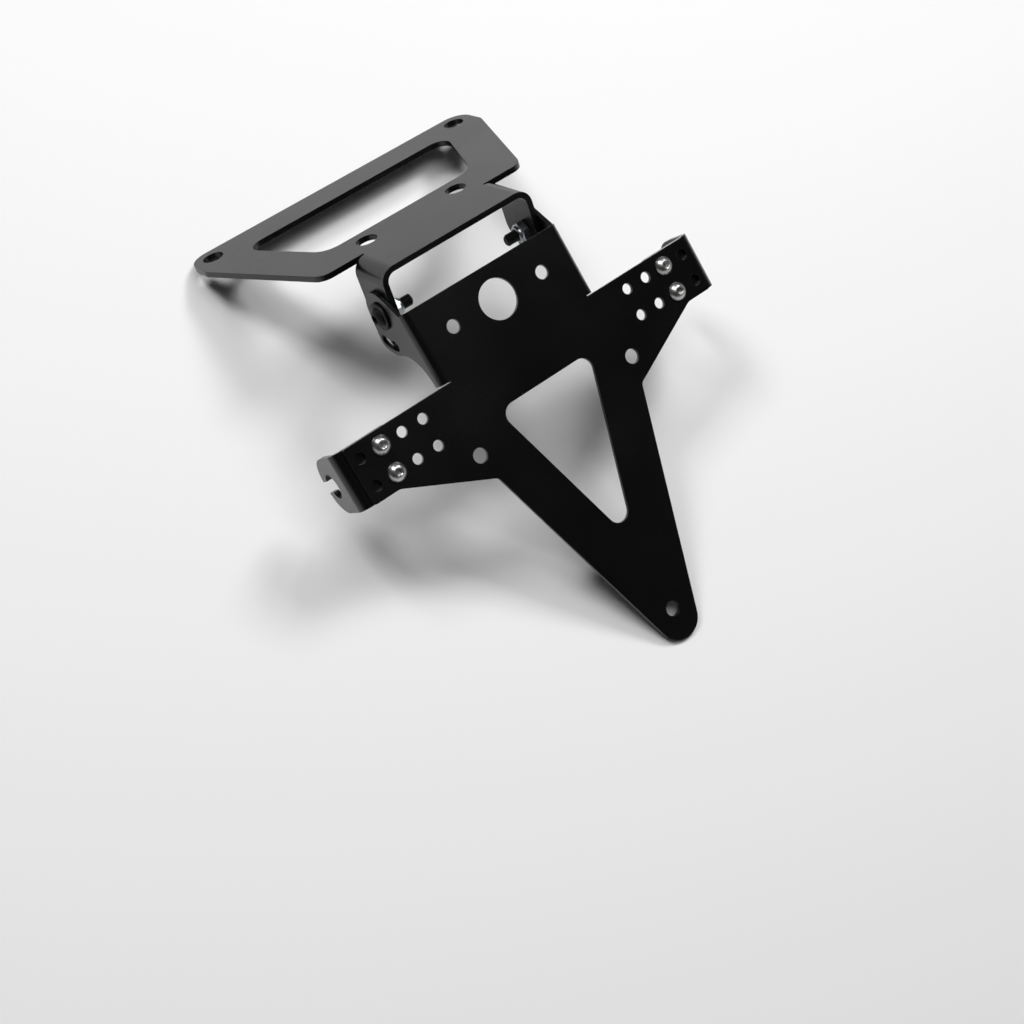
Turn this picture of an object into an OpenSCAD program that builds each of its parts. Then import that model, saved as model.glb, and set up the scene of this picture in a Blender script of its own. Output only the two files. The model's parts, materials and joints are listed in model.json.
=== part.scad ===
// Adjustable tail tidy for a motorcycle: a folded mounting bracket, a folded plate
// carrier that tilts on two pivot screws, and two indicator brackets.
//
// The part stands as it rests on a table, like a tent: the tip of the plate carrier
// and the far edge of the mounting bracket touch the ground, the pivot is the ridge.
// X runs along the pivot axis, the tip points to -Y, +Z is up.
// The origin is on the ground, below the middle of the part's box.

/* [Tilt] */
// Angle between the plate carrier and the mounting bracket
opening_angle = 113.8; // [106:0.1:120]
// Tilt of the carrier either way from there, set by the arc slots
tilt_range = 16.5; // [8:0.5:18]

/* [Plate carrier] */
// Thickness of the carrier sheet
carrier_t = 2; // [1.5:0.1:3]
// Inside radius of the carrier's folds
carrier_bend_r = 3; // [2:0.1:4]
// Width over the two carrier ears
neck_w = 94; // [86:0.5:110]
// Distance from the pivot axis to the carrier's front face
pivot_to_face = 23.8; // [20:0.1:30]
// Distance from the pivot axis down to the carrier's top edge
pivot_to_top = 3.5; // [1:0.1:6]
// Length of the carrier from top edge to tip
carrier_len = 209.2; // [180:0.1:260]
// Diameter of the large cable hole
cable_hole_d = 20.4; // [12:0.1:24]
// Distance from the top edge down to the cable hole
cable_hole_drop = 16.8; // [14:0.1:20]
// Diameter of the two lamp holes
lamp_hole_d = 7; // [4:0.1:9]
// Distance between the lamp holes
lamp_hole_pitch = 53.9; // [40:0.1:70]
// Diameter of the number plate holes
plate_hole_d = 7.6; // [5:0.1:9]
// Distance between the two upper number plate holes
plate_hole_pitch = 95.4; // [80:0.1:104]
// Distance from the top edge down to the upper number plate holes
plate_hole_drop = 75.2; // [72:0.1:78]
// Distance from the tip up to the lowest number plate hole
tip_hole_rise = 16.7; // [12:0.1:30]

/* [Wings] */
// Distance from the top edge down to the wings
wing_drop = 38.4; // [34:0.1:44]
// Height of a wing
wing_h = 29.4; // [27:0.1:34]
// Length of the straight part of a wing's lower edge, outside the slope
wing_straight = 14.7; // [10:0.1:20]
// Distance from the middle of an upper number plate hole to the slope under the wing
plate_hole_rim = 11.6; // [9:0.1:13]
// Diameter of the holes in the wings
wing_hole_d = 5.5; // [5.2:0.1:6.5]
// Distance from the neck to the first column of wing holes
first_column_gap = 16.35; // [14:0.05:19]
// Distance from a wing's end to the last column of wing holes
last_column_inset = 5.65; // [4:0.05:8]
// Number of columns of holes in each wing
columns = 4; // [3:1:4]
// Distance between the two rows of wing holes
row_pitch = 14.6; // [11:0.1:16]

/* [Legs] */
// Half the angle between the two legs
leg_angle = 17.1; // [15:0.1:19]
// Radius of the tip
tip_r = 11.4; // [10:0.1:14]
// Distance from the top edge down to the triangular window
window_drop = 61.9; // [56:0.1:68]
// Distance from the top edge down to the bottom of the window
window_bottom = 141.4; // [120:0.1:150]
// Radius at the bottom of the window
window_tip_r = 5.9; // [4:0.1:8]
// Radius at the window's upper corners
window_corner_r = 6; // [3:0.1:9]

/* [Carrier ears] */
// Radius of the ear around the pivot
ear_r = 12.5; // [10:0.1:14]
// Radius of the middle line of the arc slot
slot_r = 16.6; // [15.5:0.1:18]
// Width of the arc slot
slot_w = 5.8; // [5.2:0.1:6.4]
// Metal left outside the arc slot
slot_rim = 2.3; // [1.5:0.1:4]
// Width of the ear where it runs out beside the wing
ear_foot = 3.3; // [1:0.1:6]
// Radius of the hollow edge between the lobe and the foot
ear_hollow_r = 18.8; // [14:0.1:20]
// How far round the pivot the lobe's front edge lies above the level of the pivot
lobe_front_angle = 7; // [4:0.5:9]

/* [Mounting bracket] */
// Thickness of the bracket sheet
bracket_t = 3; // [2:0.1:4]
// Inside radius of the bracket's folds
bracket_bend_r = 5; // [3:0.1:6]
// Height of the bracket's top face over the pivot axis
pivot_to_deck = 24.5; // [22:0.1:32]
// Distance from the pivot axis to the front edge of the tongue
tongue_front = 10.2; // [9:0.1:12]
// Distance from the pivot axis to the back edge of the bracket's ears
tongue_back = 16.4; // [14:0.1:20]
// Distance from the pivot axis to the shoulders
shoulder_y = 17.9; // [17.2:0.1:24]
// How far a shoulder's sharp corner lies outside the carrier's neck
shoulder_ledge = 13.8; // [10:0.1:18]
// Distance from the pivot axis to the far edge
far_y = 117.6; // [105:0.1:130]
// Distance from the pivot axis to the upper end of the slanting sides
side_end_y = 95; // [90:0.1:100]
// Distance from the pivot axis to the near edge of the window
deck_window_near = 40.9; // [39:0.1:46]
// Distance from the pivot axis to the far edge of the window
deck_window_far = 96.6; // [85:0.1:100]
// Width of the window at its near edge, measured to the sharp corners
deck_window_w = 90.6; // [80:0.1:96]
// Diameter of the four holes that fasten the bracket to the machine
deck_hole_d = 11; // [8.5:0.1:12]
// Distance between the two inner holes
inner_hole_pitch = 54.8; // [45:0.1:60]
// Distance from the pivot axis to the inner holes
inner_hole_y = 29.6; // [28:0.1:31]
// Distance between the two outer holes
outer_hole_pitch = 156.4; // [145:0.1:158]
// Distance from the outer holes to the bracket's side edges
outer_hole_rim = 10.8; // [9:0.1:14]
// Distance from the outer holes to the far edge
outer_hole_inset = 10.5; // [9:0.1:14]
// Depth of the bracket's ears below the pivot axis
lug_depth = 20.6; // [20.2:0.1:26]
// Diameter of the locking screw hole in the bracket's ears
lock_hole_d = 5.5; // [5:0.1:5.8]

/* [Indicator brackets] */
// Thickness of the indicator bracket sheet
indicator_t = 3; // [2:0.1:4]
// Inside radius of the fold
indicator_bend_r = 3; // [2:0.1:4]
// Width over the two indicator flanges
flange_span = 221.2; // [219:0.1:230]
// Distance from a wing's end to the inner face of the flange
flange_gap = 2.6; // [1:0.1:6]
// Distance from the bracket's screws to its inner end
leg_inset = 7.35; // [6.5:0.05:8.5]
// Depth of the flange, measured from the bracket's front face
flange_depth = 32.5; // [28:0.1:40]
// Radius of the flange's two back corners
flange_corner_r = 13; // [8:0.1:14]
// Diameter of the hole for the indicator stem
stem_hole_d = 13; // [8:0.1:14]
// Distance from the bracket's front face to the stem hole
stem_hole_y = 21; // [19:0.1:22]
// Width of the slot that lets the stem slide in
stem_slot_w = 6; // [5:0.1:8]

/* [Pivot hardware] */
// Thread diameter of the pivot screws
pivot_d = 6; // [5:0.1:6]
// Length of a pivot screw under its head
pivot_screw_len = 19; // [17:0.5:24]
// Diameter of the pivot screw's head
pivot_head_d = 10.6; // [9:0.1:12]
// Height of the pivot screw's head
pivot_head_h = 2.7; // [2.5:0.1:4]
// Width across the flats of the pivot screw's socket
pivot_socket = 4; // [3:0.5:5]
// Diameter of the pivot washer
pivot_washer_d = 14.6; // [12:0.1:18]
// Thickness of the pivot washer
pivot_washer_t = 1; // [0.8:0.1:2]
// Width across the flats of the pivot nut
pivot_nut_w = 10; // [9:0.1:10]
// Height of the pivot nut
pivot_nut_h = 6; // [5:0.1:8]

/* [Indicator bracket hardware] */
// Thread diameter of the indicator bracket screws
screw_d = 5; // [4:0.1:5]
// Length of an indicator bracket screw under its head
screw_len = 14; // [12:0.5:20]
// Diameter of its head
screw_head_d = 9.5; // [8:0.1:10]
// Height of its head
screw_head_h = 2.75; // [2:0.05:3.5]
// Width across the flats of its socket
screw_socket = 3; // [2.5:0.5:3.5]
// Diameter of its washer
screw_washer_d = 10; // [9:0.1:11]
// Thickness of its washer
screw_washer_t = 1; // [0.8:0.1:1.6]
// Width across the flats of its nut
screw_nut_w = 8; // [7:0.1:8]
// Height of its nut
screw_nut_h = 5; // [4:0.1:6]

/* [Clearances] */
// Gap between a carrier ear and a bracket ear, and between a carrier ear and its washer
running_gap = 0.3; // [0.2:0.05:0.5]
// Clearance round a pivot screw in the ears, on the radius
pivot_clearance = 0.08; // [0.05:0.01:0.1]
// Clearance between a nut and its thread, on the radius
thread_clearance = 0.05; // [0.03:0.01:0.1]
// Width of the cuts that free a fold from the sheet beside it
fold_relief = 0.5; // [0.4:0.1:1.2]

/* [Hidden] */
$fn = 64;

// Colours as the photograph shows them
powder_black = "#26282a";
screw_black = "#1b1b1d";
stainless = "#c4c6c8";
zinc = "#aeb2b4";

// A cut runs past the sheet by this much on both sides
past = 1;
// Corner arcs are drawn this much small, so that they cross the straight edges at a
// clear angle
arc_slack = 0.02;
// A slot's ends are drilled this much larger than the slot, on the radius
slot_end_slack = 0.05;
left = "left";
right = "right";
upper = "upper";
lower = "lower";

// Folds: outside radii, and the half widths where the flat sheet ends
carrier_fold_r = carrier_bend_r + carrier_t;
bracket_fold_r = bracket_bend_r + bracket_t;
indicator_fold_r = indicator_bend_r + indicator_t;
neck_flat_x = neck_w / 2 - carrier_fold_r;
bracket_ear_x = neck_w / 2 - carrier_t - running_gap;
tongue_flat_x = bracket_ear_x - bracket_fold_r;
// A fold is drawn this far on into the flat sheet at both its ends
fold_lap = 0.5;

// Heights in the carrier's frame, whose origin is on the pivot axis
face_z = pivot_to_face;
back_z = pivot_to_face - carrier_t;
top_y = -pivot_to_top;
tip_y = top_y - carrier_len;
wing_top_y = top_y - wing_drop;
wing_bottom_y = wing_top_y - wing_h;
wing_mid_y = (wing_top_y + wing_bottom_y) / 2;
lower_row_y = wing_mid_y - row_pitch / 2;
upper_row_y = wing_mid_y + row_pitch / 2;
fold_bottom_y = wing_top_y + fold_relief;

// Along a wing: its end, where its slope starts and the columns of holes
wing_end_x = flange_span / 2 - indicator_t - flange_gap;
slope_x = wing_end_x - wing_straight;
first_column_x = neck_w / 2 + first_column_gap;
column_pitch = (wing_end_x - last_column_inset - first_column_x) / (columns - 1);

// The legs' outer edges touch the tip circle and would meet in a point below it
tip_centre_y = tip_y + tip_r;
leg_point_y = tip_centre_y - tip_r / sin(leg_angle);
// The slope passes the plate hole at its distance, and meets the leg's edge at the waist
plate_hole = [plate_hole_pitch / 2, top_y - plate_hole_drop];
to_plate_hole = [slope_x, wing_bottom_y] - plate_hole;
slope_angle = atan2(to_plate_hole[1], to_plate_hole[0]) + asin(plate_hole_rim / norm(to_plate_hole));
slope_run = tan(slope_angle);
leg_run = tan(leg_angle);
waist_x = (wing_bottom_y - leg_point_y - slope_x * slope_run)
    / (1 / leg_run - slope_run);
waist_y = leg_point_y + waist_x / leg_run;
waist_r = 3;
slope_start_r = 4;
wing_corner_r = 1.5;

// The triangular window between the legs
window_top_y = top_y - window_drop;
window_tip_centre_y = top_y - window_bottom + window_tip_r;
window_point_y = window_tip_centre_y - window_tip_r / sin(leg_angle);
window_half_w = (window_top_y - window_point_y) * leg_run;

// The arc slot lies around the pivot, its middle below the locking screw hole
bracket_to_carrier = opening_angle - 90;
slot_mid = bracket_to_carrier + 5;
lock_hole_angle = slot_mid - bracket_to_carrier;
lobe_r = slot_r + slot_w / 2 + slot_rim;
lobe_end_r = slot_w / 2 + slot_rim;
foot_z = face_z - carrier_fold_r - ear_foot;

// The bracket's frame has its origin on the pivot axis too
deck_z = pivot_to_deck;
deck_under_z = pivot_to_deck - bracket_t;
outer_hole_y = far_y - outer_hole_inset;
shoulder_x = neck_w / 2 + shoulder_ledge;
far_x = outer_hole_pitch / 2 + outer_hole_rim;
side_run = (far_x - shoulder_x) / (side_end_y - shoulder_y);
deck_window_far_w = deck_window_w + 2 * (deck_window_far - deck_window_near) * side_run;
shoulder_r = 8;
side_end_r = 5;
far_corner_r = 10.8;
deck_window_near_r = 12;
deck_window_far_r = 8;
// The straight part of a bracket ear's edge below the pivot, and its hollow there
lug_straight = 1;
lug_hollow_r = 6;

// The indicator bracket's leg lies against the back of the wing
indicator_face_z = back_z;
indicator_back_z = back_z - indicator_t;
flange_x = flange_span / 2;
indicator_flat_x = flange_x - indicator_fold_r;
screw_column_x = wing_end_x - last_column_inset - column_pitch;
leg_inner_x = screw_column_x - leg_inset;

// Where the pivot hardware sits along X
ear_outer_x = neck_w / 2;
washer_x = ear_outer_x + running_gap;
pivot_head_x = washer_x + pivot_washer_t;
nut_face_x = bracket_ear_x - bracket_t;
pivot_bore_d = pivot_d + 2 * pivot_clearance;
washer_slack = 0.4;
nut_chamfer_h = 1;
nut_chamfer_in = 0.2;
nut_chamfer_out = 0.3;
// A screw's shank reaches this far up into its head
shank_lap = 0.2;

// The standing pose: both frames turn about the pivot axis until the tip's back
// edge and the far edge's underside lie on one level
fold_sum = 180 - opening_angle;
plate_tilt = atan2(
    back_z + far_y * sin(fold_sum) - deck_under_z * cos(fold_sum),
    -tip_y + far_y * cos(fold_sum) + deck_under_z * sin(fold_sum));
bracket_tilt = fold_sum - plate_tilt;
pivot_z = -tip_y * sin(plate_tilt) - back_z * cos(plate_tilt);
reach_front = -tip_y * cos(plate_tilt) + face_z * sin(plate_tilt);
reach_back = far_y * cos(bracket_tilt) + deck_z * sin(bracket_tilt);
pivot_y = (reach_front - reach_back) / 2;

module carrier_frame() {
    translate([0, pivot_y, pivot_z])
        rotate([plate_tilt, 0, 0])
            children();
}

module bracket_frame() {
    translate([0, pivot_y, pivot_z])
        rotate([-bracket_tilt, 0, 0])
            children();
}

// Mirrors its child to the left or keeps it on the right
module on_side(side) {
    if (side == left) mirror([1, 0, 0]) children();
    else children();
}

// Makes its child twice, left and right
module both_sides() {
    on_side(left) children();
    on_side(right) children();
}

// A sheet that stands across X: the outline's X and Y become Y and Z
module across_x(x, thickness) {
    translate([x, 0, 0])
        rotate([90, 0, 90])
            linear_extrude(thickness) children();
}

// Corner rounding: where the arc of radius r starts from the corner p towards q
function unit(v) = v / norm(v);
function unit_at(angle) = [cos(angle), sin(angle)];
function turn(a, b, c) = cross(b - a, c - b);
function corner_angle(a, b, c) = acos(unit(a - b) * unit(c - b));
function setback(a, b, c, r) = r / tan(corner_angle(a, b, c) / 2);
function arc_centre(a, b, c, r) =
    b + unit(unit(a - b) + unit(c - b)) * r / sin(corner_angle(a, b, c) / 2);

// The rounded tip of a corner b between its neighbours a and c: a slice of a true circle
module corner_arc(a, b, c, r) {
    back = setback(a, b, c, r);
    intersection() {
        translate(arc_centre(a, b, c, r)) circle(r - arc_slack);
        polygon([b + unit(a - b) * back, b, b + unit(c - b) * back, arc_centre(a, b, c, r)]);
    }
}

// An outline with true arcs at its corners. Each corner is [x, y, radius], counter-clockwise
module rounded_outline(corners) {
    count = len(corners);
    p = [for (c = corners) [c[0], c[1]]];
    r = [for (c = corners) c[2]];
    before = [for (i = [0:count - 1]) p[(i + count - 1) % count]];
    after = [for (i = [0:count - 1]) p[(i + 1) % count]];
    path = [for (i = [0:count - 1])
        let (back = r[i] > 0 ? setback(before[i], p[i], after[i], r[i]) : 0)
        for (q = r[i] > 0 ? [before[i], after[i]] : [p[i]])
            r[i] > 0 ? p[i] + unit(q - p[i]) * back : p[i]];
    difference() {
        union() {
            polygon(path);
            for (i = [0:count - 1])
                if (r[i] > 0 && turn(before[i], p[i], after[i]) > 0)
                    corner_arc(before[i], p[i], after[i], r[i]);
        }
        for (i = [0:count - 1])
            if (r[i] > 0 && turn(before[i], p[i], after[i]) < 0)
                corner_arc(before[i], p[i], after[i], r[i]);
    }
}

// Mirrors a list of right hand corners to the left, in the order that closes the outline
function with_mirror(right_half) = concat(
    right_half,
    [for (i = [len(right_half) - 1:-1:0])
        if (right_half[i][0] > 0) [-right_half[i][0], right_half[i][1], right_half[i][2]]]);

// A quarter of a fold, seen along it: from straight up round to the right
module fold_section(inner_r, outer_r) {
    intersection() {
        difference() {
            circle(outer_r);
            circle(inner_r);
        }
        square(outer_r);
    }
    translate([-fold_lap, inner_r]) square([fold_lap, outer_r - inner_r]);
    translate([inner_r, -fold_lap]) square([outer_r - inner_r, fold_lap]);
}

// A fold that runs along Y from y_top down by its length
module fold_along_y(x, y_top, z, length, inner_r, outer_r) {
    translate([x, y_top, z])
        rotate([90, 0, 0])
            linear_extrude(length) fold_section(inner_r, outer_r);
}

// A slot along an arc around the origin
module arc_slot(radius, width, from, to) {
    intersection() {
        difference() {
            circle(radius + width / 2);
            circle(radius - width / 2);
        }
        sector(radius + width, from, to);
    }
    for (a = [from, to])
        rotate(a) translate([radius, 0]) circle(width / 2 + slot_end_slack);
}

module sector(radius, from, to) {
    polygon([[0, 0], radius * [cos(from), sin(from)], radius * [cos(to), sin(to)]]);
}

// The flat sheet of the plate carrier, without its holes
module carrier_outline() {
    rounded_outline(with_mirror([
        [0, leg_point_y, tip_r],
        [waist_x, waist_y, waist_r],
        [slope_x, wing_bottom_y, slope_start_r],
        [wing_end_x, wing_bottom_y, wing_corner_r],
        [wing_end_x, wing_top_y, wing_corner_r],
        [neck_flat_x, wing_top_y, 0],
        [neck_flat_x, top_y, 0]
    ]));
}

// The triangular window between the legs, wide side up
module leg_window_outline() {
    rounded_outline(with_mirror([
        [0, window_point_y, window_tip_r],
        [window_half_w, window_top_y, window_corner_r]
    ]));
}

// A round hole through the carrier's flat sheet
module carrier_hole(x, y, diameter) {
    translate([x, y, back_z - past])
        cylinder(h = carrier_t + 2 * past, d = diameter);
}

module carrier_holes() {
    carrier_hole(0, top_y - cable_hole_drop, cable_hole_d);
    carrier_hole(0, tip_y + tip_hole_rise, plate_hole_d);
    both_sides() {
        carrier_hole(lamp_hole_pitch / 2, top_y - cable_hole_drop, lamp_hole_d);
        carrier_hole(plate_hole[0], plate_hole[1], plate_hole_d);
        for (column = [0:columns - 1])
            for (y = [lower_row_y, upper_row_y])
                carrier_hole(first_column_x + column * column_pitch, y, wing_hole_d);
    }
}

// Where two straight edges meet, each given by the direction it faces and its distance
// from the origin
function meet(dir_a, dist_a, dir_b, dist_b) =
    [dist_a * sin(dir_b) - dist_b * sin(dir_a), dist_b * cos(dir_a) - dist_a * cos(dir_b)]
    / sin(dir_b - dir_a);

// A carrier ear seen along the pivot: round at the pivot, a lobe for the arc slot,
// and a hollow edge down to the foot beside the wing
module carrier_ear_outline() {
    root_z = face_z - carrier_fold_r;
    root = [top_y, root_z];
    rise = atan2(root_z, top_y) - acos(ear_r / norm(root));
    lobe_back = 180 + slot_mid + tilt_range;
    bridge = lobe_back + acos((ear_r - lobe_end_r) / slot_r);
    lobe_front = 180 + lobe_front_angle;
    hollow = meet(90, foot_z, lobe_front, lobe_r);
    hollow_room = (hollow[0] - fold_bottom_y) / tan((90 - lobe_front_angle) / 2);
    rounded_outline([
        [root[0], root[1], 0],
        [fold_bottom_y, root_z, 0],
        [fold_bottom_y, foot_z, 0],
        concat(hollow, min(ear_hollow_r, hollow_room * 0.97)),
        concat(meet(lobe_front, lobe_r, lobe_back, lobe_r), lobe_r * 0.95),
        concat(meet(lobe_back, lobe_r, bridge, ear_r), lobe_end_r * 0.85),
        concat(meet(bridge, ear_r, rise + 360, ear_r), ear_r)
    ]);
}

module carrier_ear() {
    difference() {
        across_x(ear_outer_x - carrier_t, carrier_t)
            difference() {
                carrier_ear_outline();
                arc_slot(slot_r, slot_w, 180 + slot_mid - tilt_range, 180 + slot_mid + tilt_range);
            }
        bore_x(ear_outer_x - carrier_t - past, carrier_t + 2 * past, pivot_bore_d);
    }
}

// A round cut or a round pin along the pivot axis
module bore_x(x, length, diameter) {
    translate([x, 0, 0])
        rotate([0, 90, 0])
            cylinder(h = length, d = diameter);
}

module plate_carrier() {
    color(powder_black)
    carrier_frame() {
        difference() {
            translate([0, 0, back_z]) linear_extrude(carrier_t) difference() {
                carrier_outline();
                leg_window_outline();
            }
            carrier_holes();
        }
        both_sides() {
            fold_along_y(neck_flat_x, top_y, face_z - carrier_fold_r,
                top_y - fold_bottom_y, carrier_bend_r, carrier_fold_r);
            carrier_ear();
        }
    }
}

// The flat top of the mounting bracket, without its round holes
module deck_outline() {
    difference() {
        rounded_outline(with_mirror([
            [tongue_flat_x, -tongue_front, 0],
            [tongue_flat_x, shoulder_y, 0],
            [shoulder_x, shoulder_y, shoulder_r],
            [far_x, side_end_y, side_end_r],
            [far_x, far_y, far_corner_r]
        ]));
        rounded_outline(with_mirror([
            [deck_window_w / 2, deck_window_near, deck_window_near_r],
            [deck_window_far_w / 2, deck_window_far, deck_window_far_r]
        ]));
    }
}

module deck_hole(x, y) {
    translate([x, y, deck_under_z - past])
        cylinder(h = bracket_t + 2 * past, d = deck_hole_d);
}

// A bracket ear seen along the pivot: straight beside the pivot, round below the lock hole
module lug_outline() {
    lock = slot_r * [sin(lock_hole_angle), -cos(lock_hole_angle)];
    end_r = lug_depth + lock[1];
    front = [-tongue_front, -lug_straight];
    back = [tongue_back, -lug_straight];
    front_dir = atan2(front[1] - lock[1], front[0] - lock[0]) + acos(end_r / norm(front - lock));
    back_dir = atan2(back[1] - lock[1], back[0] - lock[0]) - acos(end_r / norm(back - lock));
    front_foot = meet(front_dir, lock * unit_at(front_dir) + end_r, 270, lug_depth);
    back_foot = meet(270, lug_depth, back_dir + 360, lock * unit_at(back_dir) + end_r);
    rounded_outline([
        [-tongue_front, deck_z - bracket_fold_r, 0],
        concat(front, lug_hollow_r),
        concat(front_foot, end_r * 0.93),
        concat(back_foot, end_r * 0.93),
        concat(back, lug_hollow_r),
        [tongue_back, deck_z - bracket_fold_r, 0]
    ]);
}

module lug() {
    difference() {
        across_x(nut_face_x, bracket_t) lug_outline();
        bore_x(nut_face_x - past, bracket_t + 2 * past, pivot_bore_d);
        translate([0, slot_r * sin(lock_hole_angle), -slot_r * cos(lock_hole_angle)])
            bore_x(nut_face_x - past, bracket_t + 2 * past, lock_hole_d);
    }
}

module mounting_bracket() {
    color(powder_black)
    bracket_frame() {
        difference() {
            translate([0, 0, deck_under_z]) linear_extrude(bracket_t) deck_outline();
            both_sides() {
                deck_hole(inner_hole_pitch / 2, inner_hole_y);
                deck_hole(outer_hole_pitch / 2, outer_hole_y);
            }
        }
        both_sides() {
            fold_along_y(tongue_flat_x, tongue_back, deck_z - bracket_fold_r,
                tongue_back + tongue_front, bracket_bend_r, bracket_fold_r);
            lug();
        }
    }
}

// The flange of an indicator bracket seen along X, open at the back for the stem
module flange_outline() {
    root_z = indicator_face_z - indicator_fold_r;
    end_z = indicator_face_z - flange_depth;
    stem_z = indicator_face_z - stem_hole_y;
    difference() {
        rounded_outline([
            [wing_bottom_y, root_z, 0],
            [wing_bottom_y, end_z, flange_corner_r],
            [wing_top_y, end_z, flange_corner_r],
            [wing_top_y, root_z, 0]
        ]);
        translate([wing_mid_y, stem_z]) circle(d = stem_hole_d);
        translate([wing_mid_y - stem_slot_w / 2, end_z - past])
            square([stem_slot_w, stem_z - end_z + past]);
    }
}

module indicator_bracket(side) {
    color(powder_black)
    carrier_frame() on_side(side) {
        difference() {
            translate([0, 0, indicator_back_z])
                linear_extrude(indicator_t)
                    rounded_outline([
                        [leg_inner_x, wing_bottom_y, wing_corner_r],
                        [indicator_flat_x, wing_bottom_y, 0],
                        [indicator_flat_x, wing_top_y, 0],
                        [leg_inner_x, wing_top_y, wing_corner_r]
                    ]);
            for (y = [lower_row_y, upper_row_y])
                translate([screw_column_x, y, indicator_back_z - past])
                    cylinder(h = indicator_t + 2 * past, d = wing_hole_d);
        }
        fold_along_y(indicator_flat_x, wing_top_y, indicator_face_z - indicator_fold_r,
            wing_h, indicator_bend_r, indicator_fold_r);
        across_x(flange_x - indicator_t, indicator_t) flange_outline();
    }
}

// A button head with a hexagon socket. It sits on z = 0 and points up
module button_head(diameter, height, socket_w) {
    edge_h = height * 0.25;
    dome_h = height - edge_h;
    top_r = diameter * 0.24;
    dome_r = (pow(diameter / 2, 2) - pow(top_r, 2) + pow(dome_h, 2)) / (2 * dome_h);
    dome_z = height - sqrt(pow(dome_r, 2) - pow(top_r, 2));
    difference() {
        intersection() {
            cylinder(h = height, d = diameter);
            translate([0, 0, dome_z]) sphere(dome_r);
        }
        translate([0, 0, height * 0.35])
            cylinder(h = height, d = socket_w / cos(30), $fn = 6);
    }
}

// A nut on z = 0, its corners taken off at the top
module hex_nut(width, height, bore_d) {
    corner_r = width / 2 / cos(30);
    difference() {
        intersection() {
            cylinder(h = height, r = corner_r, $fn = 6);
            union() {
                cylinder(h = height - nut_chamfer_h, r = corner_r + past);
                translate([0, 0, height - nut_chamfer_h])
                    cylinder(h = nut_chamfer_h, r1 = corner_r + nut_chamfer_out,
                        r2 = width / 2 - nut_chamfer_in);
            }
        }
        translate([0, 0, -past]) cylinder(h = height + 2 * past, d = bore_d);
    }
}

module ring(outer_d, bore_d, thickness) {
    difference() {
        cylinder(h = thickness, d = outer_d);
        translate([0, 0, -past]) cylinder(h = thickness + 2 * past, d = bore_d);
    }
}

// Turns a part that points up so that it points out along the pivot axis
module outward(x) {
    translate([x, 0, 0]) rotate([0, 90, 0]) children();
}

module pivot_screw(side) {
    color(screw_black)
    bracket_frame() on_side(side) {
        outward(pivot_head_x) button_head(pivot_head_d, pivot_head_h, pivot_socket);
        bore_x(pivot_head_x - pivot_screw_len, pivot_screw_len + shank_lap, pivot_d);
    }
}

module pivot_washer(side) {
    color(screw_black)
    bracket_frame() on_side(side)
        outward(washer_x)
            ring(pivot_washer_d, pivot_d + washer_slack, pivot_washer_t);
}

module pivot_nut(side) {
    color(zinc)
    bracket_frame() on_side(side)
        translate([nut_face_x, 0, 0])
            rotate([0, -90, 0])
                hex_nut(pivot_nut_w, pivot_nut_h, pivot_d + 2 * thread_clearance);
}

// Where an indicator bracket screw goes: on the wing's face, pointing out of it
module at_screw(side, row) {
    carrier_frame() on_side(side)
        translate([screw_column_x, row == upper ? upper_row_y : lower_row_y, 0])
            children();
}

module indicator_screw(side, row) {
    color(stainless)
    at_screw(side, row) {
        translate([0, 0, face_z]) button_head(screw_head_d, screw_head_h, screw_socket);
        translate([0, 0, face_z - screw_len])
            cylinder(h = screw_len + shank_lap, d = screw_d);
    }
}

module indicator_washer(side, row) {
    color(zinc)
    at_screw(side, row)
        translate([0, 0, indicator_back_z - screw_washer_t])
            ring(screw_washer_d, screw_d + washer_slack, screw_washer_t);
}

module indicator_nut(side, row) {
    color(zinc)
    at_screw(side, row)
        translate([0, 0, indicator_back_z - screw_washer_t])
            rotate([180, 0, 0])
                hex_nut(screw_nut_w, screw_nut_h, screw_d + 2 * thread_clearance);
}

mounting_bracket();
plate_carrier();
indicator_bracket(left);  // indicator_bracket_left
indicator_bracket(right);  // indicator_bracket_right
pivot_screw(left);  // pivot_screw_left
pivot_screw(right);  // pivot_screw_right
pivot_washer(left);  // pivot_washer_left
pivot_washer(right);  // pivot_washer_right
pivot_nut(left);  // pivot_nut_left
pivot_nut(right);  // pivot_nut_right
indicator_screw(left, upper);  // indicator_screw_left_upper
indicator_screw(left, lower);  // indicator_screw_left_lower
indicator_screw(right, upper);  // indicator_screw_right_upper
indicator_screw(right, lower);  // indicator_screw_right_lower
indicator_washer(left, upper);  // indicator_washer_left_upper
indicator_washer(left, lower);  // indicator_washer_left_lower
indicator_washer(right, upper);  // indicator_washer_right_upper
indicator_washer(right, lower);  // indicator_washer_right_lower
indicator_nut(left, upper);  // indicator_nut_left_upper
indicator_nut(left, lower);  // indicator_nut_left_lower
indicator_nut(right, upper);  // indicator_nut_right_upper
indicator_nut(right, lower);  // indicator_nut_right_lower
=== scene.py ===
"""Looks of the tail tidy: powder coated folded sheets, their screws, washers and nuts."""
import json
import math

import bmesh
import bpy
from mathutils import Euler, Matrix, Vector


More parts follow.
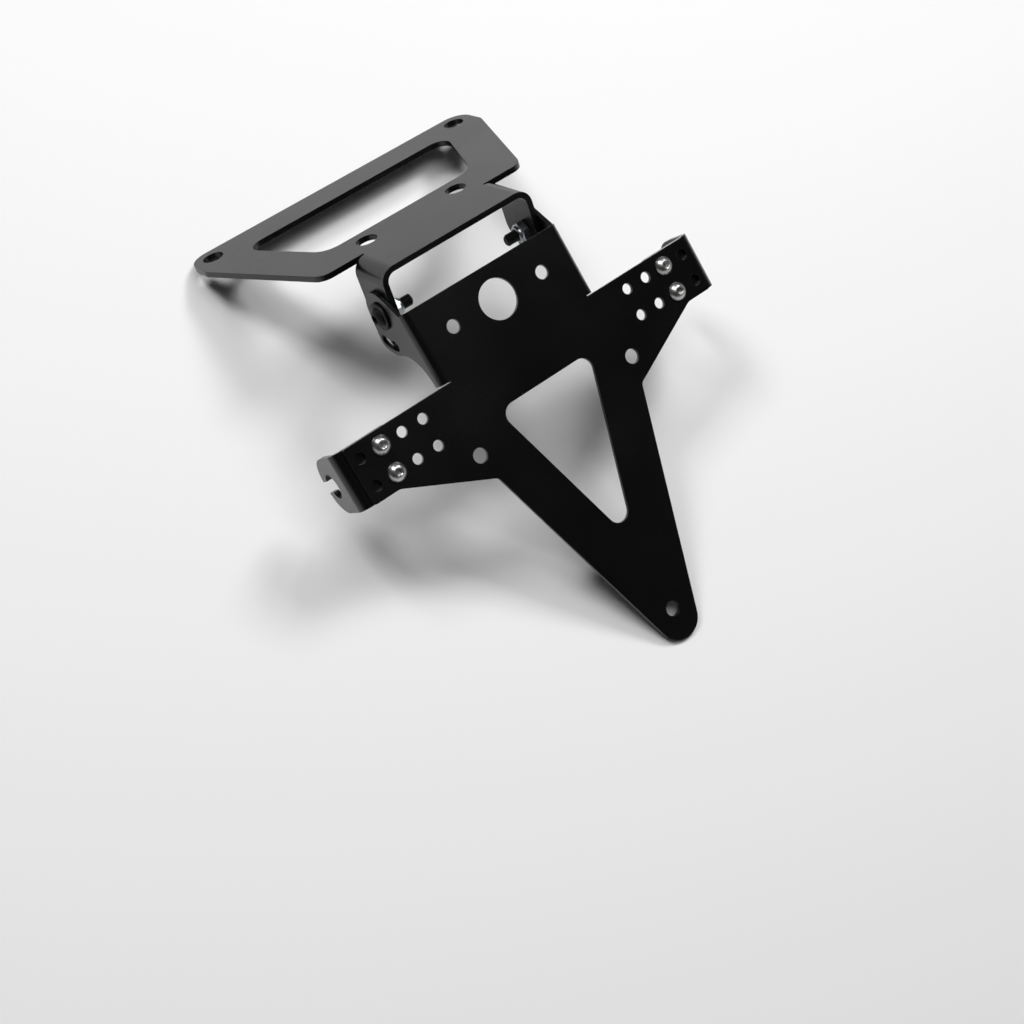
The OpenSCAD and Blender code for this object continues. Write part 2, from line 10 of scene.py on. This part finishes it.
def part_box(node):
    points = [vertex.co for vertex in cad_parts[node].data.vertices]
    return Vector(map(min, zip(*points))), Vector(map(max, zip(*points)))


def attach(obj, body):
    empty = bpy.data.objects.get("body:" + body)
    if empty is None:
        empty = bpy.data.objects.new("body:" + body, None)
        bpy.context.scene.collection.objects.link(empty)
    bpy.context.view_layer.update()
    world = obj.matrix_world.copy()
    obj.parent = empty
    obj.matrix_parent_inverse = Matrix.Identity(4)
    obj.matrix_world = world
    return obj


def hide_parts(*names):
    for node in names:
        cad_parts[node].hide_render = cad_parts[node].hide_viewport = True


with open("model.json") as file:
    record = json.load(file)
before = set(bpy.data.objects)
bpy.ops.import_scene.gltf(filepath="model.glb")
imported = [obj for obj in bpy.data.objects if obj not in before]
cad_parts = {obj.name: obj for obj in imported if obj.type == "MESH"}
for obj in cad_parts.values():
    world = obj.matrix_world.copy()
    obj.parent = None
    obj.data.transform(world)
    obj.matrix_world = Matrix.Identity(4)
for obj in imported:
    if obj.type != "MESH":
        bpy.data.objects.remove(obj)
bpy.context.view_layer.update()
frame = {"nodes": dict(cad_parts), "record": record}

MM = 0.001
PALE = "#f2f2f2"


def srgb(hex_colour):
    """A linear colour from an sRGB hex value such as '#1a1b1c'."""
    values = [int(hex_colour[i:i + 2], 16) / 255 for i in (1, 3, 5)]
    linear = [v / 12.92 if v <= 0.04045 else ((v + 0.055) / 1.055) ** 2.4 for v in values]
    return (*linear, 1.0)


def every(size_mm):
    """The scale at which a pattern's marks are about size_mm millimetres apart."""
    return 1.0 / (size_mm * MM)


def add(tree, kind, settings=None, **links):
    """Adds a node. settings are its properties; links are its inputs: values or sockets.
    An input is named, or i and its number where several have the same name."""
    node = tree.nodes.new(kind)
    for name, value in (settings or {}).items():
        setattr(node, name, value)
    for name, value in links.items():
        numbered = name[0] == "i" and name[1:].isdigit()
        socket = node.inputs[int(name[1:]) if numbered else name.replace("_", " ")]
        if isinstance(value, bpy.types.NodeSocket):
            tree.links.new(value, socket)
        else:
            socket.default_value = value
    return node


def new_material(name):
    material = bpy.data.materials.new(name)
    material.use_nodes = True
    tree = material.node_tree
    tree.nodes.clear()
    return material, tree


def powder_coat():
    """Satin black polyester powder coat, sprayed and baked on steel sheet.

    It gives a deep black with a soft gloss, a faint orange peel of about 1.5 mm and a
    finer grain of about 0.3 mm. The coat flows round the laser cut edges, so these are
    rounded by 0.35 mm.
    """
    material, tree = new_material("black_powder_coat")
    place = add(tree, "ShaderNodeTexCoord").outputs["Object"]
    peel = add(tree, "ShaderNodeTexNoise", Vector=place, Scale=every(1.54), Detail=2.0)
    grain = add(tree, "ShaderNodeTexNoise", Vector=place, Scale=every(0.3125), Detail=1.0)
    cloud = add(tree, "ShaderNodeTexNoise", Vector=place, Scale=every(45.5), Detail=3.0)
    # Dust grains under the coat, up to 0.3 mm across. A grain shows where a dusty cell has
    # its middle near the surface, which leaves some 35 mm between grains
    dusty_share = 0.14
    dust = add(tree, "ShaderNodeTexVoronoi", Vector=place, Scale=every(3.85))
    grains = add(tree, "ShaderNodeMapRange", Value=dust.outputs["Distance"],
                 From_Min=0.03, From_Max=0.05, To_Min=1.0, To_Max=0.0)
    draw = add(tree, "ShaderNodeSeparateColor", Color=dust.outputs["Color"])
    dusty = add(tree, "ShaderNodeMath", {"operation": "GREATER_THAN"},
                i0=draw.outputs["Red"], i1=1.0 - dusty_share)
    speck = add(tree, "ShaderNodeMath", {"operation": "MULTIPLY"},
                i0=grains.outputs["Result"], i1=dusty.outputs[0])
    tone = add(tree, "ShaderNodeMix", {"data_type": "RGBA"}, Factor=cloud.outputs["Fac"],
               A=srgb("#050506"), B=srgb("#09090a"))
    colour = add(tree, "ShaderNodeMix", {"data_type": "RGBA"}, Factor=speck.outputs[0],
                 A=tone.outputs["Result"], B=srgb("#2c2c2c"))
    gloss = add(tree, "ShaderNodeMapRange", Value=cloud.outputs["Fac"],
                From_Min=0.3, From_Max=0.7, To_Min=0.22, To_Max=0.29)
    edge = add(tree, "ShaderNodeBevel", {"samples": 6}, Radius=0.35 * MM)
    bump = add(tree, "ShaderNodeBump", Strength=0.35, Distance=0.03 * MM,
               Height=peel.outputs["Fac"], Normal=edge.outputs[0])
    fine = add(tree, "ShaderNodeBump", Strength=0.3, Distance=0.012 * MM,
               Height=grain.outputs["Fac"], Normal=bump.outputs[0])
    coat = add(tree, "ShaderNodeBsdfPrincipled", Base_Color=colour.outputs["Result"],
               Roughness=gloss.outputs["Result"], IOR=1.5, Normal=fine.outputs[0])
    add(tree, "ShaderNodeOutputMaterial", Surface=coat.outputs[0])
    return material


def bare_metal(name, light, dark, roughness, scratch_mm):
    """Bare or plated steel: fine marks of turning and handling, scratch_mm apart."""
    material, tree = new_material(name)
    place = add(tree, "ShaderNodeTexCoord").outputs["Object"]
    marks = add(tree, "ShaderNodeTexNoise", Vector=place, Scale=every(scratch_mm), Detail=4.0)
    patches = add(tree, "ShaderNodeTexNoise", Vector=place, Scale=every(2.38), Detail=2.0)
    tone = add(tree, "ShaderNodeMix", {"data_type": "RGBA"}, Factor=patches.outputs["Fac"],
               A=srgb(dark), B=srgb(light))
    gloss = add(tree, "ShaderNodeMapRange", Value=marks.outputs["Fac"], From_Min=0.3,
                From_Max=0.7, To_Min=roughness * 0.8, To_Max=roughness * 1.25)
    edge = add(tree, "ShaderNodeBevel", {"samples": 6}, Radius=0.12 * MM)
    bump = add(tree, "ShaderNodeBump", Strength=0.4, Distance=0.006 * MM,
               Height=marks.outputs["Fac"], Normal=edge.outputs[0])
    metal = add(tree, "ShaderNodeBsdfPrincipled", Base_Color=tone.outputs["Result"],
                Metallic=1.0, Roughness=gloss.outputs["Result"], Normal=bump.outputs[0])
    add(tree, "ShaderNodeOutputMaterial", Surface=metal.outputs[0])
    return material


def black_oxide():
    """Black oxide on a class 10.9 steel screw: a thin oiled layer, dark with a soft shine."""
    material, tree = new_material("black_oxide_steel")
    place = add(tree, "ShaderNodeTexCoord").outputs["Object"]
    marks = add(tree, "ShaderNodeTexNoise", Vector=place, Scale=every(0.4), Detail=3.0)
    patches = add(tree, "ShaderNodeTexNoise", Vector=place, Scale=every(2.0), Detail=2.0)
    tone = add(tree, "ShaderNodeMix", {"data_type": "RGBA"}, Factor=patches.outputs["Fac"],
               A=srgb("#0a0a0b"), B=srgb("#141415"))
    gloss = add(tree, "ShaderNodeMapRange", Value=patches.outputs["Fac"],
                From_Min=0.3, From_Max=0.7, To_Min=0.4, To_Max=0.52)
    edge = add(tree, "ShaderNodeBevel", {"samples": 6}, Radius=0.15 * MM)
    bump = add(tree, "ShaderNodeBump", Strength=0.4, Distance=0.006 * MM,
               Height=marks.outputs["Fac"], Normal=edge.outputs[0])
    layer = add(tree, "ShaderNodeBsdfPrincipled", Base_Color=tone.outputs["Result"],
                Roughness=gloss.outputs["Result"], IOR=1.45, Specular_IOR_Level=0.3,
                Normal=bump.outputs[0])
    add(tree, "ShaderNodeOutputMaterial", Surface=layer.outputs[0])
    return material


POWDER_COAT = powder_coat()
BLACK_OXIDE = black_oxide()
# A2 stainless screws, cold headed and tumbled: bright, with a slightly grey tone
STAINLESS = bare_metal("stainless_steel", light="#cbcbc9", dark="#adadac",
                       roughness=0.3, scratch_mm=0.25)
# Bright zinc plate with a blue passivation: a little greyer and less even than stainless
ZINC = bare_metal("blue_zinc_plate", light="#c6cacd", dark="#9ba1a6",
                  roughness=0.3, scratch_mm=0.2)

for sheet in ("mounting_bracket", "plate_carrier",
              "indicator_bracket_left", "indicator_bracket_right"):
    for slot in frame["nodes"][sheet].material_slots:
        slot.material = POWDER_COAT


# A hexagon's corner radius where its flats are at 1
HEX_CORNER = 1 / math.cos(math.pi / 6)
# A radius beyond every hexagon's corners here, in millimetres
BEYOND = 9.0
# Faces that meet at more than this stay sharp
SHARP_FROM = math.radians(32)


def turned(name, rings, sides=48, closed=False):
    """A turned or cold headed part from its rings. Each ring is (height, radius, flat) in
    millimetres: a circle, cut to a hexagon where flat gives half its width across flats.
    The rings go from end to end, or all the way round the wall where closed is set."""
    shape = bmesh.new()
    rows = []
    for height, radius, flat in rings:
        row = []
        for i in range(sides):
            angle = 2 * math.pi * i / sides
            reach = radius
            if flat:
                off_flat = (angle + math.pi / 6) % (math.pi / 3) - math.pi / 6
                reach = min(radius, flat / math.cos(off_flat))
            place = Vector((reach * math.cos(angle), reach * math.sin(angle), height))
            row.append(shape.verts.new(place * MM))
        rows.append(row)
    pairs = list(zip(rows, rows[1:])) + ([(rows[-1], rows[0])] if closed else [])
    for low, high in pairs:
        for i in range(sides):
            k = (i + 1) % sides
            shape.faces.new((low[i], low[k], high[k], high[i]))
    if not closed:
        shape.faces.new(rows[0])
        shape.faces.new(rows[-1])
    bmesh.ops.recalc_face_normals(shape, faces=shape.faces)
    mesh = bpy.data.meshes.new(name)
    shape.to_mesh(mesh)
    shape.free()
    return mesh


def button_screw(name, under_head, head_d, head_h, socket, core_r, length):
    """A button head with a hexagon socket, and the shank's core. The dome is part of a
    ball, from the flat top down to the head's widest ring."""
    head_r, half = head_d / 2, socket / 2
    # The socket has a coned floor and a bevelled mouth
    floor_z, wall_z = head_h * 0.28, head_h * 0.36
    mouth_h, mouth_w = 0.25, 0.2
    top_r, top_edge_w, top_edge_h = head_d * 0.24, 0.15, 0.03
    rings = [(floor_z, BEYOND, half * 0.9), (wall_z, BEYOND, half),
             (head_h - mouth_h, BEYOND, half), (head_h, half * HEX_CORNER + mouth_w, 0),
             (head_h, top_r - top_edge_w, 0)]
    dome_h = head_h * 0.75
    ball_r = (head_r ** 2 - top_r ** 2 + dome_h ** 2) / (2 * dome_h)
    ball_z = head_h - math.sqrt(ball_r ** 2 - top_r ** 2)
    dome_steps, crowding = 8, 1.6
    for step in range(dome_steps + 1):
        drop = (dome_h - top_edge_h) * (step / dome_steps) ** crowding
        z = head_h - top_edge_h - drop
        rings.append((z, math.sqrt(ball_r ** 2 - (z - ball_z) ** 2), 0))
    # The head's lower edge is rounded by 0.25 mm, and the shank ends in a bevel
    tip = 0.6
    rings += [(0.25, head_r, 0), (0.08, head_r - 0.07, 0), (0, head_r - 0.25, 0),
              (0, core_r, 0), (tip - length, core_r, 0), (-length, core_r - tip, 0)]
    return turned(name, [(under_head + z, r, flat) for z, r, flat in rings])


def washer(name, height, outer_d, bore_d):
    """A stamped washer about its middle: its upper edge is drawn round by 0.25 mm, the
    lower one is nearly sharp."""
    outer, bore, top = outer_d / 2, bore_d / 2, height / 2
    sharp, bore_edge = 0.1, 0.15
    return turned(name, [(-top, outer - sharp, 0), (sharp - top, outer, 0),
                         (top - 0.25, outer, 0), (top - 0.07, outer - 0.08, 0),
                         (top, outer - 0.25, 0), (top, bore + bore_edge, 0),
                         (top - bore_edge, bore, 0), (-top, bore, 0)], closed=True)


def lock_nut(name, top, height, width, bore_d):
    """A lock nut that hangs below the height top: a hexagon with chamfered corners, then a
    round collar that holds the locking ring."""
    flat, bore = width / 2, bore_d / 2
    corner, face_r = flat * HEX_CORNER, flat * 0.93
    hex_h, chamfer_h, steps = height * 0.72, 0.62, 5
    chamfer = [(chamfer_h * i / steps, face_r + (corner - face_r) * i / steps)
               for i in range(1, steps + 1)]
    collar = [(hex_h + 0.15, 0.88), (height - 0.7, 0.86), (height - 0.25, 0.8), (height, 0.68)]
    rings = [(0.5, bore, 0), (0, bore + 0.45, 0), (0, face_r, 0)]
    rings += [(depth, radius, flat) for depth, radius in chamfer]
    rings += [(hex_h - depth, radius, flat) for depth, radius in reversed(chamfer)]
    rings += [(hex_h, face_r, 0)] + [(depth, flat * share, 0) for depth, share in collar]
    rings += [(height, bore + 0.35, 0), (height - 0.5, bore, 0)]
    return turned(name, [(top - depth, radius, cut) for depth, radius, cut in rings],
                  closed=True)


def fastener_tree():
    """Puts a copy of the item, with its thread, on each place, turned as the place says."""
    tree = bpy.data.node_groups.new("fasteners", "GeometryNodeTree")
    tree.interface.new_socket("Geometry", in_out="OUTPUT", socket_type="NodeSocketGeometry")
    for name, kind in (("Places", "Geometry"), ("Item", "Object"), ("Material", "Material"),
                       ("Threaded", "Bool"), ("Thread Root", "Float"),
                       ("Thread Pitch", "Float"), ("Thread Turns", "Float"),
                       ("Thread Start", "Float")):
        tree.interface.new_socket(name, in_out="INPUT", socket_type="NodeSocket" + kind)
    given = tree.nodes.new("NodeGroupInput").outputs
    item = add(tree, "GeometryNodeObjectInfo", Object=given["Item"]).outputs["Geometry"]
    climb = add(tree, "ShaderNodeMath", {"operation": "MULTIPLY"},
                i0=given["Thread Pitch"], i1=given["Thread Turns"])
    helix = add(tree, "GeometryNodeCurveSpiral", Resolution=24, Height=climb.outputs[0],
                Rotations=given["Thread Turns"], Start_Radius=given["Thread Root"],
                End_Radius=given["Thread Root"])
    upright = add(tree, "GeometryNodeSetCurveNormal", {"mode": "Z_UP"}, Curve=helix.outputs[0])
    # The ridge is a square that stands on its corner, its outer half proud of the core
    ridge = add(tree, "ShaderNodeMath", {"operation": "MULTIPLY"},
                i0=given["Thread Pitch"], i1=0.58)
    section = add(tree, "GeometryNodeCurvePrimitiveCircle",
                  Resolution=4, Radius=ridge.outputs[0])
    thread = add(tree, "GeometryNodeCurveToMesh", Curve=upright.outputs[0],
                 Profile_Curve=section.outputs[0], Fill_Caps=True)
    start = add(tree, "ShaderNodeCombineXYZ", Z=given["Thread Start"])
    thread = add(tree, "GeometryNodeTransform",
                 Geometry=thread.outputs[0], Translation=start.outputs[0])
    thread = add(tree, "GeometryNodeSwitch", {"input_type": "GEOMETRY"},
                 Switch=given["Threaded"], i2=thread.outputs[0])
    whole = add(tree, "GeometryNodeJoinGeometry", Geometry=item)
    tree.links.new(thread.outputs[0], whole.inputs["Geometry"])
    turn = add(tree, "GeometryNodeInputNamedAttribute",
               {"data_type": "FLOAT_VECTOR"}, Name="turn")
    copies = add(tree, "GeometryNodeInstanceOnPoints", Points=given["Places"],
                 Instance=whole.outputs[0], Rotation=turn.outputs[0])
    real = add(tree, "GeometryNodeRealizeInstances", Geometry=copies.outputs[0])
    coated = add(tree, "GeometryNodeSetMaterial",
                 Geometry=real.outputs[0], Material=given["Material"])
    add(tree, "NodeGroupOutput", Geometry=coated.outputs[0])
    return tree


FASTENERS = fastener_tree()


def fasten(name, item_mesh, places, material, body, slot, nodes, **thread):
    """One piece for all copies of a fastener on a body. thread gives the sizes of its
    thread in metres, if it has one."""
    item = bpy.data.objects.new(name + "_item", item_mesh)
    points = bpy.data.meshes.new(name + "_places")
    points.from_pydata([place.translation for place in places], [], [])
    turns = points.attributes.new("turn", "FLOAT_VECTOR", "POINT")
    for entry, place in zip(turns.data, places):
        entry.vector = place.to_euler()
    holder = bpy.data.objects.new(name + "_places", points)
    for thing in (item, holder):
        bpy.context.collection.objects.link(thing)
    maker = holder.modifiers.new("fasteners", "NODES")
    maker.node_group = FASTENERS
    sockets = {entry.name: entry.identifier for entry in FASTENERS.interface.items_tree
               if entry.in_out == "INPUT"}
    maker[sockets["Item"]] = item
    maker[sockets["Material"]] = material
    maker[sockets["Threaded"]] = bool(thread)
    for size, value in thread.items():
        maker[sockets[size.replace("_", " ").title()]] = float(value)
    graph = bpy.context.evaluated_depsgraph_get()
    mesh = bpy.data.meshes.new_from_object(holder.evaluated_get(graph))
    holder.modifiers.remove(maker)
    bpy.data.objects.remove(holder)
    bpy.data.objects.remove(item)
    mesh.shade_smooth()
    mesh.set_sharp_from_angle(angle=SHARP_FROM)
    piece = bpy.data.objects.new(name, mesh)
    bpy.context.collection.objects.link(piece)
    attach(piece, body)
    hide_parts(*nodes)


def nodes_named(start):
    return [node for node in frame["nodes"] if node.startswith(start)]


def middle(node):
    low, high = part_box(node)
    return (low + high) / 2


def sheet_tilt(hole):
    """How a flat sheet is turned about X, from the axis of a mount's hole through it."""
    axis = next(Vector(m["axis"]) for m in frame["record"]["mounts"] if m["name"] == hole)
    return Matrix.Rotation(math.atan2(-axis.y, axis.z), 4, "X")


def spun(places, *degrees):
    """The places, each turned about its own axis as a spanner would leave the fastener."""
    return [place @ Matrix.Rotation(math.radians(angle), 4, "Z")
            for place, angle in zip(places, degrees)]


def thread_on(under_head, core_r, length, pitch, turns):
    """A thread's sizes in metres, for fasten. It begins above the shank's bevelled tip."""
    above_tip, sunk = 0.7, 0.04
    return {"thread_root": (core_r - sunk) * MM, "thread_pitch": pitch * MM,
            "thread_turns": turns, "thread_start": (under_head - length + above_tip) * MM}


# Each fastener's place is the middle of its washer, with Z along the screw towards its
# head, and its heights count from there, in millimetres
BRACKET_SHEET, CARRIER_SHEET, RUNNING_GAP, WASHER = 3.0, 2.0, 0.3, 1.0

carrier_turn = sheet_tilt("plate_upper_left")
bracket_turn = sheet_tilt("machine_inner_left")
screw_places = [Matrix.Translation(middle("indicator_washer_" + corner)) @ carrier_turn
                for corner in ("left_upper", "left_lower", "right_upper", "right_lower")]
pivot_places = [Matrix.Translation(middle("pivot_washer_" + side)) @ bracket_turn
                @ Matrix.Rotation(math.radians(outward), 4, "Y")
                for side, outward in (("left", -90), ("right", 90))]

# M5 by 14 screws with 0.8 mm pitch hold the indicator brackets to the wings. Their washers
# and nuts are behind the brackets
M5_HEAD = WASHER / 2 + BRACKET_SHEET + CARRIER_SHEET
M5_CORE_R, M5_LENGTH = 2.08, 14
m5_screw = button_screw("indicator_screw", M5_HEAD, head_d=9.5, head_h=2.75, socket=3.0,
                        core_r=M5_CORE_R, length=M5_LENGTH)
m5_washer = washer("indicator_washer", height=WASHER, outer_d=10.0, bore_d=5.4)
m5_nut = lock_nut("indicator_nut", -WASHER / 2, height=5.0, width=8.0, bore_d=5.1)
fasten("indicator_screws", m5_screw, spun(screw_places, 12, 47, 31, 4),
       STAINLESS, "carrier", "stainless", nodes_named("indicator_screw"),
       **thread_on(M5_HEAD, M5_CORE_R, M5_LENGTH, pitch=0.8, turns=12))
fasten("indicator_washers", m5_washer, screw_places,
       ZINC, "carrier", "zinc", nodes_named("indicator_washer"))
fasten("indicator_nuts", m5_nut, spun(screw_places, 8, 25, 50, 17),
       ZINC, "carrier", "zinc", nodes_named("indicator_nut"))

# M6 by 19 screws with 1 mm pitch are the pivots. Their washers are under the heads, and
# their nuts are beyond both ears
M6_HEAD = WASHER / 2
M6_NUT = -(WASHER / 2 + RUNNING_GAP + CARRIER_SHEET + RUNNING_GAP + BRACKET_SHEET)
M6_CORE_R, M6_LENGTH = 2.46, 19
m6_screw = button_screw("pivot_screw", M6_HEAD, head_d=10.6, head_h=2.7, socket=4.0,
                        core_r=M6_CORE_R, length=M6_LENGTH)
m6_washer = washer("pivot_washer", height=WASHER, outer_d=14.6, bore_d=6.4)
m6_nut = lock_nut("pivot_nut", M6_NUT, height=6.0, width=10.0, bore_d=6.1)
fasten("pivot_screws", m6_screw, spun(pivot_places, 20, 41),
       BLACK_OXIDE, "bracket", "black_oxide", nodes_named("pivot_screw"),
       **thread_on(M6_HEAD, M6_CORE_R, M6_LENGTH, pitch=1.0, turns=15))
fasten("pivot_washers", m6_washer, pivot_places,
       BLACK_OXIDE, "bracket", "black_oxide", nodes_named("pivot_washer"))
fasten("pivot_nuts", m6_nut, spun(pivot_places, 14, 33),
       ZINC, "bracket", "zinc", nodes_named("pivot_nut"))


# The studio, in metres
FLOOR_REACH, FLOOR_DROP = 6.0, 0.0001
FADE_NEAR, FADE_FAR = 0.55, 1.4
LAMP_AIM = Vector((0, 0, 0.03))


def seen(tree):
    """One for the rays that show a background: the camera's, a mirror's and a glass's."""
    rays = add(tree, "ShaderNodeLightPath").outputs
    either = add(tree, "ShaderNodeMath", {"operation": "MAXIMUM"},
                 i0=rays["Is Camera Ray"], i1=rays["Is Glossy Ray"])
    return add(tree, "ShaderNodeMath", {"operation": "MAXIMUM"},
               i0=either.outputs[0], i1=rays["Is Transmission Ray"]).outputs[0]


def make_floor():
    """Pale matt paper. Past the lamps' reach it shows its own colour, like the backdrop."""
    mesh = bpy.data.meshes.new("floor")
    corners = [(x * FLOOR_REACH, y * FLOOR_REACH, 0)
               for x, y in ((-1, -1), (1, -1), (1, 1), (-1, 1))]
    mesh.from_pydata(corners, [], [(0, 1, 2, 3)])
    floor = bpy.data.objects.new("floor", mesh)
    floor.location.z = -FLOOR_DROP
    bpy.context.collection.objects.link(floor)
    material, tree = new_material("pale_floor")
    paper = add(tree, "ShaderNodeBsdfPrincipled", Base_Color=srgb(PALE), Roughness=0.7)
    place = add(tree, "ShaderNodeTexCoord").outputs["Object"]
    off_centre = add(tree, "ShaderNodeVectorMath", {"operation": "LENGTH"}, i0=place)
    far = add(tree, "ShaderNodeMapRange", {"interpolation_type": "SMOOTHSTEP"},
              Value=off_centre.outputs["Value"], From_Min=FADE_NEAR, From_Max=FADE_FAR)
    share = add(tree, "ShaderNodeMath", {"operation": "MULTIPLY"},
                i0=far.outputs["Result"], i1=seen(tree))
    backdrop = add(tree, "ShaderNodeEmission", Color=srgb(PALE))
    surface = add(tree, "ShaderNodeMixShader", Fac=share.outputs[0],
                  i1=paper.outputs[0], i2=backdrop.outputs[0])
    add(tree, "ShaderNodeOutputMaterial", Surface=surface.outputs[0])
    mesh.materials.append(material)


def make_lamp(name, location, size, power):
    """A soft box that faces the object."""
    light = bpy.data.lights.new(name, "AREA")
    light.shape = "SQUARE"
    light.size = size
    light.energy = power
    lamp = bpy.data.objects.new(name, light)
    lamp.location = location
    aim = LAMP_AIM - Vector(location)
    lamp.rotation_euler = aim.to_track_quat("-Z", "Y").to_euler()
    bpy.context.collection.objects.link(lamp)


def make_camera():
    """The photograph's camera, solved from the flat carrier."""
    data = bpy.data.cameras.new("camera")
    data.sensor_width = 36.0
    data.lens = 54.947
    data.shift_y = -0.0083
    data.clip_start = 0.05
    camera = bpy.data.objects.new("camera", data)
    camera.location = Vector((-304.96, -199.76, 725.91)) * MM
    camera.rotation_euler = Euler([math.radians(a) for a in (21.5116, -9.6081, -38.0244)])
    bpy.context.collection.objects.link(camera)
    bpy.context.scene.camera = camera


def make_world():
    """A studio whose pale backdrop ends below a dark ceiling. It lights the object little.

    The camera sees a high backdrop. What gloss mirrors of it is low, so that the cut
    edges stay black.
    """
    backdrop_top, for_camera, for_gloss = 0.45, 1.2, 0.14
    backdrop_light, ceiling_light = 0.25, 0.035
    world = bpy.data.worlds.new("studio")
    bpy.context.scene.world = world
    world.use_nodes = True
    tree = world.node_tree
    tree.nodes.clear()
    way = add(tree, "ShaderNodeTexCoord").outputs["Generated"]
    rise = add(tree, "ShaderNodeSeparateXYZ", Vector=way).outputs["Z"]
    foot = add(tree, "ShaderNodeMix", {"data_type": "FLOAT"},
               Factor=seen(tree), A=backdrop_light, B=1.0)
    rays = add(tree, "ShaderNodeLightPath").outputs
    top = add(tree, "ShaderNodeMath", {"operation": "MULTIPLY_ADD"},
              i0=rays["Is Camera Ray"], i1=for_camera - backdrop_top, i2=backdrop_top)
    top = add(tree, "ShaderNodeMath", {"operation": "MULTIPLY_ADD"},
              i0=rays["Is Glossy Ray"], i1=for_gloss - backdrop_top, i2=top.outputs[0])
    level = add(tree, "ShaderNodeMapRange", {"interpolation_type": "SMOOTHSTEP"},
                Value=rise, From_Min=0.0, From_Max=top.outputs[0],
                To_Min=foot.outputs["Result"], To_Max=ceiling_light)
    sky = add(tree, "ShaderNodeBackground", Color=srgb(PALE), Strength=level.outputs["Result"])
    add(tree, "ShaderNodeOutputWorld", Surface=sky.outputs[0])


bpy.context.scene.view_settings.view_transform = "Standard"
make_floor()
make_world()
make_camera()
make_lamp("lamp_right", (1.02, 0.41, 1.40), size=0.48, power=13.4)
make_lamp("lamp_far", (-0.48, 1.26, 1.66), size=0.58, power=16.6)
make_lamp("fill", (0.13, 0.29, 1.70), size=1.2, power=12.0)
